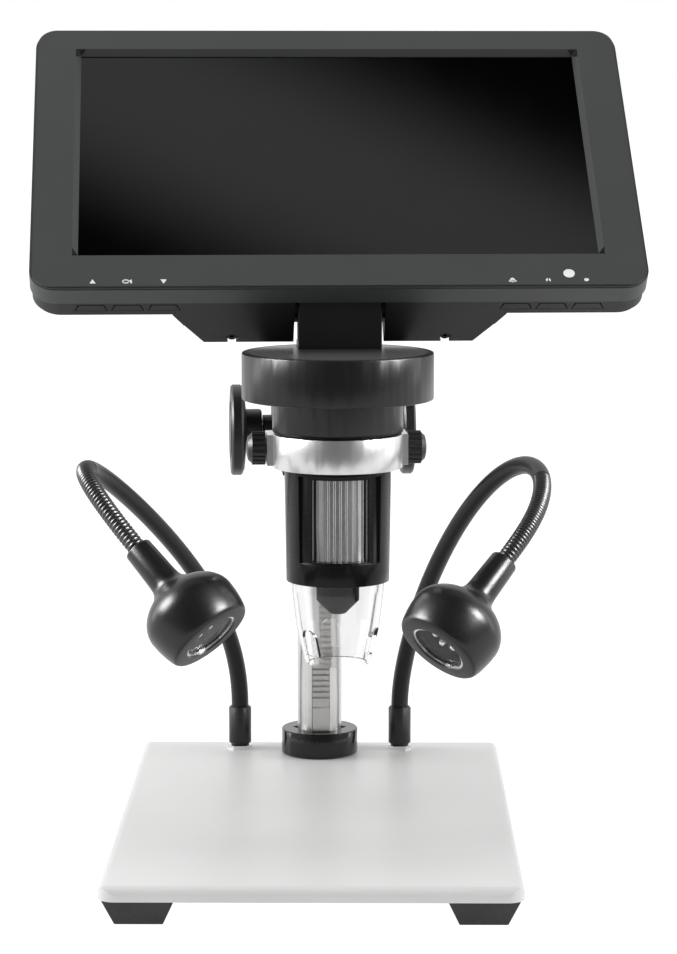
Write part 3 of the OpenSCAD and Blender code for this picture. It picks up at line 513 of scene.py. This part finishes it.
def route_line(points):
    """The neck's centre line with its two straight shanks, in the frame, in millimetres."""
    line = [on_route(points, i / ROUTE_STEPS) for i in range(ROUTE_STEPS + 1)]
    into_lamp = (Vector(points[-1]) - Vector(points[-2])).normalized()
    line = [line[0] - Vector((0, 0, FOOT_SHANK))] + line + [line[-1] + into_lamp * LAMP_SHANK]
    return [COLUMN_AT + point for point in line]


def line_length(line):
    """The length of a line of points."""
    return sum((b - a).length for a, b in zip(line, line[1:]))


for end, points in ROUTES.items():
    print(end, "neck runs", round(line_length(route_line(points)), 1), "mm")

# %% Rows of rings
SEAM_MM = 0.01


def repeated(name, steps, count, pitch):
    """One turned length, repeated end to end with an Array."""
    row = turned(name, steps)
    repeat = row.modifiers.new("repeat", "ARRAY")
    repeat.count = count
    repeat.use_relative_offset = False
    repeat.use_constant_offset = True
    repeat.constant_offset_displace = (0, 0, pitch * MM)
    repeat.use_merge_vertices = True
    repeat.merge_threshold = SEAM_MM * MM
    bpy.ops.object.modifier_apply(modifier=repeat.name)
    return row


# %% A straight neck
NECK_R, SHANK_R = 2.8, 2.4
SHANK_GAP = 0.2
PLAIN_PITCH = 1.5
PLAIN_SHARE = {"left": 0.735, "right": 0.745}       # how much of each neck is smooth, from its foot
RIB_PITCH, RIB_DEPTH, RIB_STEPS = 1.34, 0.34, 8


def straight_neck(end, length):
    """A smooth length from the foot, ribs from the crown to the lamp and two thin shanks, along Z."""
    top_z = FOOT_SHANK + length
    plain = round(length * PLAIN_SHARE[end] / PLAIN_PITCH)
    start = FOOT_SHANK + plain * PLAIN_PITCH
    count = round((top_z - start) / RIB_PITCH)
    pitch = (top_z - start) / count
    smooth = repeated("neck_plain", [(FOOT_SHANK, NECK_R), (FOOT_SHANK + PLAIN_PITCH, NECK_R)], plain, PLAIN_PITCH)
    rib = [(start + pitch * i / RIB_STEPS, NECK_R - RIB_DEPTH * (1 - math.sin(math.pi * i / RIB_STEPS)))
           for i in range(RIB_STEPS + 1)]
    row = repeated("neck_" + end, rib, count, pitch)
    foot = turned("foot_shank", [(SHANK_GAP, SHANK_R), (FOOT_SHANK, SHANK_R)], cap_ends=True)
    top = turned("top_shank", [(top_z, SHANK_R), (top_z + LAMP_SHANK - SHANK_GAP, SHANK_R)], cap_ends=True)
    bpy.ops.object.select_all(action="DESELECT")
    for part, finish in ((foot, neck_rubber), (top, neck_rubber), (smooth, neck_rubber), (row, rib_black)):
        part.data.materials.append(finish)
        part.select_set(True)
    bpy.context.view_layer.objects.active = row
    bpy.ops.object.join()
    bpy.ops.object.mode_set(mode="EDIT")
    bpy.ops.mesh.select_all(action="DESELECT")
    bpy.ops.mesh.select_non_manifold()
    bpy.ops.mesh.edge_face_add()
    bpy.ops.object.mode_set(mode="OBJECT")
    print(end, "neck:", count, "ribs,", len(row.data.polygons), "faces")
    return row


# %% Necks, bent along their routes
NECK_SMOOTH = math.radians(50)


def bent_neck(end):
    """The straight neck, laid along its route by a Curve modifier."""
    line = route_line(ROUTES[end])
    neck = straight_neck(end, line_length(line) - FOOT_SHANK - LAMP_SHANK)
    track = bpy.data.curves.new("route_" + end, "CURVE")
    track.dimensions = "3D"
    spline = track.splines.new("POLY")
    spline.points.add(len(line) - 1)
    for knot, point in zip(spline.points, line):
        knot.co = (*(point * MM), 1)
    guide = bpy.data.objects.new("route_" + end, track)
    bpy.context.scene.collection.objects.link(guide)
    bend = neck.modifiers.new("bend", "CURVE")
    bend.object = guide
    bend.deform_axis = "POS_Z"
    bpy.ops.object.modifier_apply(modifier=bend.name)
    bpy.data.objects.remove(guide)
    bpy.ops.object.shade_smooth_by_angle(angle=NECK_SMOOTH)
    settle(neck, "gooseneck_" + end, None, "gooseneck_" + end)


for end in ROUTES:
    bent_neck(end)

# %% [markdown]
# ## The lamp heads, turned again
# A lamp head is one round moulding, and its dome must carry a soft highlight without a break. We turn it ring by
# ring to the same outline as its solid: the bore for the neck, the sleeve, the flare, the dome, the face, the seat
# of the lens and the hollow behind it. Even rings give even normals, which the solid's long triangles don't.

# %% The outline of a lamp head
LAMP_L, LAMP_R, LENS_R = 35.5, 14.4, 8.0
BELL_Z, BELL_L = LAMP_L - 19.6, 10.4        # where the dome starts on the sleeve, and its length
SEAT_R, HOLLOW_R = LENS_R + 0.7, LENS_R - 0.5
SEAT_DEPTH, HOLLOW_DEPTH = 3, 15
BORE_DEPTH, BORE_R = 8.2, 2.45
sleeve = [(BORE_DEPTH, BORE_R), (0.3, BORE_R), (0.3, 3.7), (0.5, 4.0), (0.9, 4.2), (BELL_Z - 3.6, 4.6),
          (BELL_Z - 1.9, 4.8), (BELL_Z - 0.7, 5.2), (BELL_Z + 0.2, 6.0)]
bell = [(BELL_Z + BELL_L - BELL_L * math.cos(math.radians(a)), LAMP_R * math.sin(math.radians(a)))
        for a in range(30, 91, 6)]
rim = [(LAMP_L - drop, LAMP_R - inset) for drop, inset in
       ((6.5, 0.12), (4, 0.45), (1.9, 0.9), (0.8, 1.3), (0.2, 1.8), (0, 2.4))]
hollow = [(LAMP_L, SEAT_R), (LAMP_L - SEAT_DEPTH, SEAT_R), (LAMP_L - SEAT_DEPTH, HOLLOW_R),
          (LAMP_L - HOLLOW_DEPTH, HOLLOW_R)]
print("lamp head outline:", len(sleeve + bell + rim + hollow), "rings")

# %% Lamp heads
HEAD_SIDES, HEAD_SMOOTH = 72, math.radians(32)


def lamp_frame(end):
    """The place of a lamp's own frame: at the end of its neck, with Z along the way the neck ends."""
    before_last, last = (Vector(point) for point in ROUTES[end][-2:])
    aim = (last - before_last).to_track_quat("Z", "Y").to_matrix().to_4x4()
    return Matrix.Translation((COLUMN_AT + last) * MM) @ aim


def lamp_head(end):
    """One lamp head, turned and set on the end of its neck."""
    head = turned("lamp_" + end, sleeve + bell + rim + hollow, HEAD_SIDES)
    bpy.ops.object.mode_set(mode="EDIT")
    bpy.ops.mesh.select_all(action="SELECT")
    bpy.ops.mesh.fill_holes(sides=0)
    bpy.ops.mesh.normals_make_consistent(inside=False)
    bpy.ops.object.mode_set(mode="OBJECT")
    bpy.ops.object.shade_smooth_by_angle(angle=HEAD_SMOOTH)
    head.matrix_world = lamp_frame(end)
    return settle(head, "lamp_head_" + end, lamp_black, "lamp_" + end)


for end in ROUTES:
    print(end, "lamp head:", len(lamp_head(end).data.polygons), "faces")

# %% [markdown]
# ## Lights and rings behind the lenses
# Five clear lights stand behind each lens, and they are what glints there when the lamp is off. One is turned as a
# can with a round cap and copied round a ring. The lens ring is bright metal at its front edge alone. Behind that
# edge it is painted near-black, as painted shade of the hollow behind the lens. So its finish asks how far a point
# lies along the lamp's own axis: a Mapping node of the Texture kind turns to that frame.

# %% Lights
LIGHTS, LIGHT_SIDES, LIGHT_R = 5, 16, 1.3
LIGHT_SMOOTH = math.radians(40)
LIGHT_FOOT, LIGHT_TOP = LAMP_L - 11, LAMP_L - 3.6
LIGHT_RING_R = 2.6 * LIGHT_R
CAP_ANGLES = (0, 20, 40, 60, 78)
round_cap = [(LIGHT_TOP - LIGHT_R + LIGHT_R * math.sin(math.radians(a)), LIGHT_R * math.cos(math.radians(a)))
             for a in CAP_ANGLES]


def lamp_lights(end):
    """The five lights of one lamp, as one piece."""
    cans = []
    for i in range(LIGHTS):
        light = turned("lights_" + end, [(LIGHT_FOOT, LIGHT_R)] + round_cap, LIGHT_SIDES, cap_ends=True)
        turn = Matrix.Rotation(math.tau * i / LIGHTS, 4, "Z")
        light.matrix_world = lamp_frame(end) @ turn @ Matrix.Translation((LIGHT_RING_R * MM, 0, 0))
        cans.append(light)
    bpy.ops.object.select_all(action="DESELECT")
    for light in cans:
        light.select_set(True)
    bpy.context.view_layer.objects.active = cans[0]
    bpy.ops.object.join()
    bpy.ops.object.shade_smooth_by_angle(angle=LIGHT_SMOOTH)
    return settle(cans[0], "lamp_head_" + end, light_clear)


for end in ROUTES:
    print(end, "lights:", len(lamp_lights(end).data.polygons), "faces")

# %% Lens rings
# Behind BRIGHT_FROM the lens ring is painted near-black: painted shade of the lamp's hollow behind the lens.
BRIGHT_FROM = LAMP_L - 0.9
BRIGHT_BLUR = 0.1
RING_PAINTED_SHADE, RING_BRIGHT = 0.01, 0.9


def metal_front_painted_shade_behind(finish, end):
    """Keeps a ring's metal at its front edge, along the lamp's axis, and paints it near-black behind, as painted
    shade of the lamp's hollow.
    """
    tree = finish.node_tree
    at, turn, _ = lamp_frame(end).decompose()
    place = tree.nodes.new("ShaderNodeTexCoord")
    local = tree.nodes.new("ShaderNodeMapping")
    local.vector_type = "TEXTURE"
    local.inputs["Location"].default_value = at
    local.inputs["Rotation"].default_value = turn.to_euler()
    along = tree.nodes.new("ShaderNodeSeparateXYZ")
    tree.links.new(place.outputs["Object"], local.inputs["Vector"])
    tree.links.new(local.outputs["Vector"], along.inputs["Vector"])
    share = even_step(tree, along.outputs["Z"], (BRIGHT_FROM - BRIGHT_BLUR) * MM, BRIGHT_FROM * MM,
                      RING_PAINTED_SHADE, RING_BRIGHT)
    for socket in ("Base Color", "Metallic"):
        tree.links.new(share, tree.nodes["Principled BSDF"].inputs[socket])
    return finish


for end in ROUTES:
    # Silver at the ring's front edge, painted shade behind it.
    ring_silver_painted_shade = grain(new_finish("ring_silver_painted_shade_" + end, (0.9, 0.9, 0.9), 0.25, 0.9), 900, 0, rough=(0.2, 0.26))
    dress("lamp_ring_" + end, metal_front_painted_shade_behind(ring_silver_painted_shade, end))
print("lens rings dressed")

# %% [markdown]
# ## What the panels leave out
# The two strong panels are there for the domes. Seen from the side, the flat screen and the plate would throw one
# of them back like a mirror, and the column would glare. Light linking keeps those two lamps off such pieces.

# %% Panels leave flat faces alone
LEFT_OUT = ("front_bezel", "screen_panel", "back_shell", "ir_window", "base_plate", "column", "carriage",
            "drum_cap", "neck")
for name in ("panel_left", "panel_right"):
    left_out = bpy.data.collections.new(name + "_leaves_out")
    bpy.data.objects[name].light_linking.receiver_collection = left_out
    for piece in LEFT_OUT:
        left_out.objects.link(frame["nodes"][piece])
    for entry in left_out.collection_objects:
        entry.light_linking.link_state = "EXCLUDE"
print("the panels leave out", len(LEFT_OUT), "pieces")

# %% [markdown]
# ## Marks on the bezel
# The marks beside the buttons are printed: flat, white and a twentieth of a millimetre thick. Each starts as a
# plain circle of a few corners, is stretched in edit mode and gets its thickness. Where one shape isn't enough,
# several are joined. They are drawn flat first, and one matrix then lays them on the tilted screen.

# %% The screen's own place
REST_TILT = math.radians(42.4)
FACE = 13.5                     # from the hinge pin out to the bezel's face
MARK_Y = -1.9                   # from the hinge pin up the face to the row of marks
hinge = joints["screen_tilt"]
across = Vector(hinge["axis"])
level_up = Vector((0, 0, 1))
level_back = level_up.cross(across)
up_face = level_back * math.cos(REST_TILT) + level_up * math.sin(REST_TILT)
out_face = across.cross(up_face)
face_axes = Matrix((across, up_face, out_face)).transposed().to_4x4()
screen_at = Matrix.Translation(Vector(hinge["pos_m"])) @ face_axes
print("screen faces", [round(x, 3) for x in out_face])

# %% Helpers for marks
MARK_THICK = 0.05


def flat_mark(name, corners, place, size, angle=0.0):
    """A flat printed mark with so many corners, laid on the screen's face."""
    bpy.ops.object.select_all(action="DESELECT")
    bpy.ops.mesh.primitive_circle_add(vertices=corners, radius=MM, fill_type="NGON")
    mark = bpy.context.object
    mark.name = name
    bpy.ops.object.mode_set(mode="EDIT")
    bpy.ops.mesh.select_all(action="SELECT")
    bpy.ops.transform.resize(value=(size[0], size[1], 1), center_override=(0, 0, 0))
    bpy.ops.mesh.extrude_region_move(TRANSFORM_OT_translate={"value": (0, 0, MARK_THICK * MM)})
    bpy.ops.mesh.select_all(action="SELECT")
    bpy.ops.mesh.normals_make_consistent(inside=False)
    bpy.ops.object.mode_set(mode="OBJECT")
    turn = Matrix.Rotation(math.radians(angle), 4, "Z")
    mark.matrix_world = screen_at @ Matrix.Translation(Vector((*place, FACE)) * MM) @ turn
    return mark


def join_marks(name, marks):
    """Several flat shapes that make one mark."""
    bpy.ops.object.select_all(action="DESELECT")
    for mark in marks:
        mark.select_set(True)
    bpy.context.view_layer.objects.active = marks[0]
    bpy.ops.object.join()
    marks[0].name = name
    return marks[0]


# %% Marks on the left: up, down and back
UP_X, BACK_X, DOWN_X = -73.5, -63.4, -52.6
settle(flat_mark("mark_up", 3, (UP_X, MARK_Y - 0.2), (1.05, 1.15)), "screen", mark_white)
settle(flat_mark("mark_down", 3, (DOWN_X, MARK_Y + 0.2), (1.05, 1.15), 180), "screen", mark_white)
hook = [flat_mark("hook", 12, (BACK_X + 0.85 * math.cos(a) - 0.35, MARK_Y + 0.62 * math.sin(a)), (0.24, 0.24))
        for a in (math.radians(x) for x in range(40, 321, 20))]
hook.append(flat_mark("hook", 3, (BACK_X + 1.1, MARK_Y + 0.15), (0.75, 0.75), -20))
hook.append(flat_mark("hook", 4, (BACK_X + 1.25, MARK_Y - 0.5), (0.32, 0.4)))
settle(join_marks("mark_back", hook), "screen", mark_white)
print("three marks on the left")

# %% Marks on the right: photo, mode and power
PHOTO_X, MODE_X, POWER_X = 50.9, 61.15, 73.0
dome = [flat_mark("dome", 24, (PHOTO_X, MARK_Y + 0.1), (0.72, 0.8)),
        flat_mark("dome", 4, (PHOTO_X, MARK_Y - 0.45), (1.15, 0.55)),
        flat_mark("dome", 16, (PHOTO_X - 0.85, MARK_Y - 0.42), (0.36, 0.36)),
        flat_mark("dome", 16, (PHOTO_X + 0.85, MARK_Y - 0.42), (0.36, 0.36))]
settle(join_marks("mark_photo", dome), "screen", mark_white)
bars = [flat_mark("bar", 4, (MODE_X, MARK_Y), (0.34, 0.8), -14),
        flat_mark("bar", 4, (MODE_X + 0.85, MARK_Y), (0.34, 0.8), 14)]
settle(join_marks("mark_mode", bars), "screen", mark_white)
settle(flat_mark("mark_power", 20, (POWER_X, MARK_Y), (0.72, 0.62)), "screen", mark_white)
print("three marks on the right")

# %% [markdown]
# ## The floor
# The floor is pale and matt. A floor that only reflects the lamps would be greyer than the backdrop, and its far
# edge would show. So a Mix Shader lets a large share of it glow for the camera, for mirrors and for glass, and the
# rest is plain white that takes the stand's shadow.

# %% Floor
FLOOR_SIZE, FLOOR_FRONT = 12, -0.3
FLOOR_TONE, FLOOR_ROUGHNESS = 0.9, 0.9
GLOW, GLOW_SHARE = 1.2, 0.85
bpy.ops.object.select_all(action="DESELECT")
bpy.ops.mesh.primitive_plane_add(size=FLOOR_SIZE, location=(0, FLOOR_FRONT + FLOOR_SIZE / 2, 0))
floor = bpy.context.object
floor.name = "floor"
floor_white = new_finish("floor_white", (FLOOR_TONE, FLOOR_TONE, FLOOR_TONE), FLOOR_ROUGHNESS)
paint = floor_white.node_tree
matt = paint.nodes["Principled BSDF"]
glow = paint.nodes.new("ShaderNodeEmission")
glow.inputs["Strength"].default_value = GLOW
ray = paint.nodes.new("ShaderNodeLightPath")
mirror_or_glass = math_step(paint, "MAXIMUM", ray.outputs["Is Glossy Ray"], ray.outputs["Is Transmission Ray"])
seen_white = math_step(paint, "MAXIMUM", ray.outputs["Is Camera Ray"], mirror_or_glass)
blend = paint.nodes.new("ShaderNodeMixShader")
paint.links.new(math_step(paint, "MULTIPLY", seen_white, GLOW_SHARE), blend.inputs["Fac"])
paint.links.new(matt.outputs["BSDF"], blend.inputs[1])
paint.links.new(glow.outputs["Emission"], blend.inputs[2])
paint.links.new(blend.outputs["Shader"], paint.nodes["Material Output"].inputs["Surface"])
floor.data.materials.append(floor_white)
print("floor ready")

# %% [markdown]
# ## The view
# The Standard view shows each colour about as it is written.

# %% Finish
bpy.context.scene.view_settings.view_transform = "Standard"
